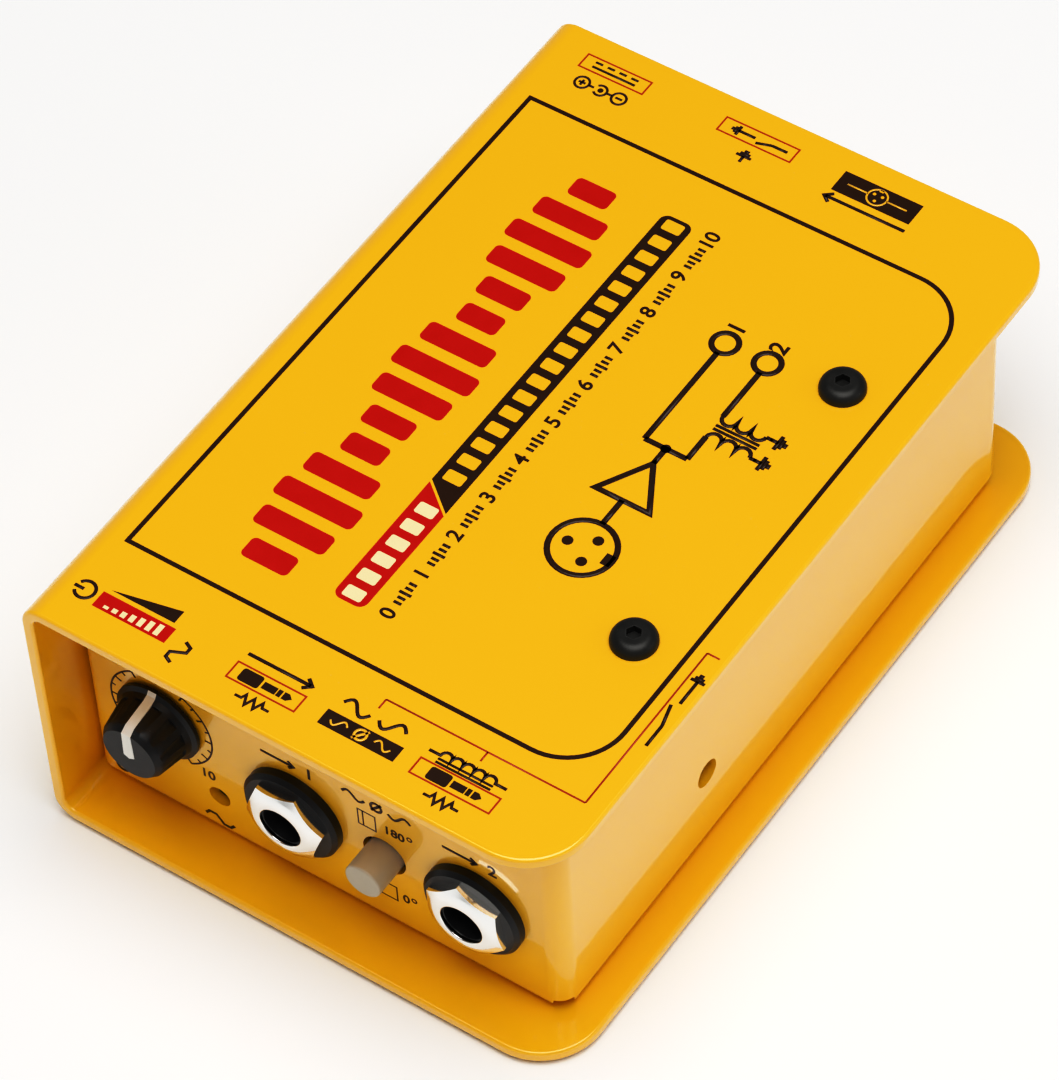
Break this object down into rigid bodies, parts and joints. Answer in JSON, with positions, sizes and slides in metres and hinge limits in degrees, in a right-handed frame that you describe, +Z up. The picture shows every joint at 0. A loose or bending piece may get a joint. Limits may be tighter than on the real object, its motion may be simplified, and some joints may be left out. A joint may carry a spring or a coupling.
{
  "type": "direct injection box",
  "caption": "Small steel box for guitar and studio signals: bent outer shell around a set-back chassis, level knob, quarter-inch jacks, push switches and a three-pin input.",
  "frame": {"origin": "centre of the box's footprint, on the surface that the base pad stands on", "axes": "+X to the right seen from the front panel, +Y from the front panel to the rear panel, +Z up"},
  "size_m": [0.084, 0.127, 0.0481],
  "materials": {
    "yellow_paint": "glossy powder coat",
    "black_rubber": "matte neoprene",
    "black_screw": "black oxide",
    "zinc_plate": "zinc plated",
    "steel_plate": "nickel plated, satin",
    "chrome_plate": "bright chrome",
    "brass_metal": "turned",
    "contact_metal": "plated",
    "core_steel": "stacked laminations",
    "board_green": "solder mask on glass laminate",
    "brown_laminate": "phenolic laminate",
    "black_plastic": "moulded",
    "black_metal": "black coated die casting",
    "bezel_black": "moulded, satin",
    "knob_black": "moulded, satin",
    "pointer_white": "inlay",
    "white_plastic": "moulded",
    "button_grey": "moulded, satin",
    "lamp_green": "tinted epoxy",
    "lamp_red": "tinted epoxy",
    "winding_tape": "polyester tape",
    "film_red": "dipped",
    "can_sleeve": "shrink sleeve",
    "resistor_blue": "lacquer"
  },
  "bodies": {
    "case": {"outer_shell": "yellow_paint", "inner_chassis": "yellow_paint", "base_pad": "black_rubber", "top_screws": "black_screw", "bottom_screws": "black_screw", "clinch_nuts": "zinc_plate", "main_board": "board_green", "board_standoffs": "brass_metal", "board_screws": "zinc_plate", "pot_bushing": "zinc_plate", "pot_track": "brown_laminate", "pot_can": "zinc_plate", "pot_terminals": "contact_metal", "pot_washer": "zinc_plate", "pot_nut": "zinc_plate", "out_a_body": "black_plastic", "out_a_bezel": "bezel_black", "out_a_nut": "chrome_plate", "out_a_contacts": "contact_metal", "out_b_body": "black_plastic", "out_b_bezel": "bezel_black", "out_b_nut": "chrome_plate", "out_b_contacts": "contact_metal", "polarity_switch": "black_plastic", "rear_lift_switch": "black_plastic", "side_lift_switch": "black_plastic", "power_led": "lamp_green", "clip_led": "lamp_red", "dc_inlet_body": "black_plastic", "dc_inlet_pin": "contact_metal", "dc_inlet_terminals": "contact_metal", "xlr_housing": "black_metal", "xlr_insert": "black_plastic", "xlr_contacts": "contact_metal", "xlr_screws": "black_screw", "transformer_core": "core_steel", "transformer_bobbin": "white_plastic", "transformer_winding": "winding_tape", "film_capacitors": "film_red", "op_amps": "black_plastic", "electrolytic_capacitors": "can_sleeve", "resistors": "resistor_blue", "voltage_regulator": "black_plastic"},
    "level": {"level_knob": "knob_black", "knob_pointer": "pointer_white", "pot_shaft": "zinc_plate", "pot_rotor": "black_plastic"},
    "polarity": {"polarity_button": "button_grey", "polarity_plunger": "white_plastic"},
    "rear_lift": {"rear_lift_button": "button_grey", "rear_lift_plunger": "white_plastic"},
    "side_lift": {"side_lift_plunger": "black_plastic"},
    "latch": {"xlr_latch": "steel_plate"}
  },
  "joints": [
    {"name": "level_turn", "type": "hinge", "parent": "case", "child": "level", "pos_m": [-0.0272, -0.0554, 0.0232], "axis": [0, 1, 0], "range_deg": [-150, 150]},
    {"name": "polarity_press", "type": "slide", "parent": "case", "child": "polarity", "axis": [0, 1, 0], "range_m": [0, 0.003], "stiffness_N_per_m": 400, "springref_m": -0.002},
    {"name": "rear_lift_press", "type": "slide", "parent": "case", "child": "rear_lift", "axis": [0, -1, 0], "range_m": [0, 0.003], "stiffness_N_per_m": 400, "springref_m": -0.002},
    {"name": "side_lift_press", "type": "slide", "parent": "case", "child": "side_lift", "axis": [-1, 0, 0], "range_m": [0, 0.002], "stiffness_N_per_m": 400, "springref_m": -0.002},
    {"name": "latch_press", "type": "slide", "parent": "case", "child": "latch", "axis": [0, -1, 0], "range_m": [0, 0.0015], "stiffness_N_per_m": 600, "springref_m": -0.002}
  ]
}
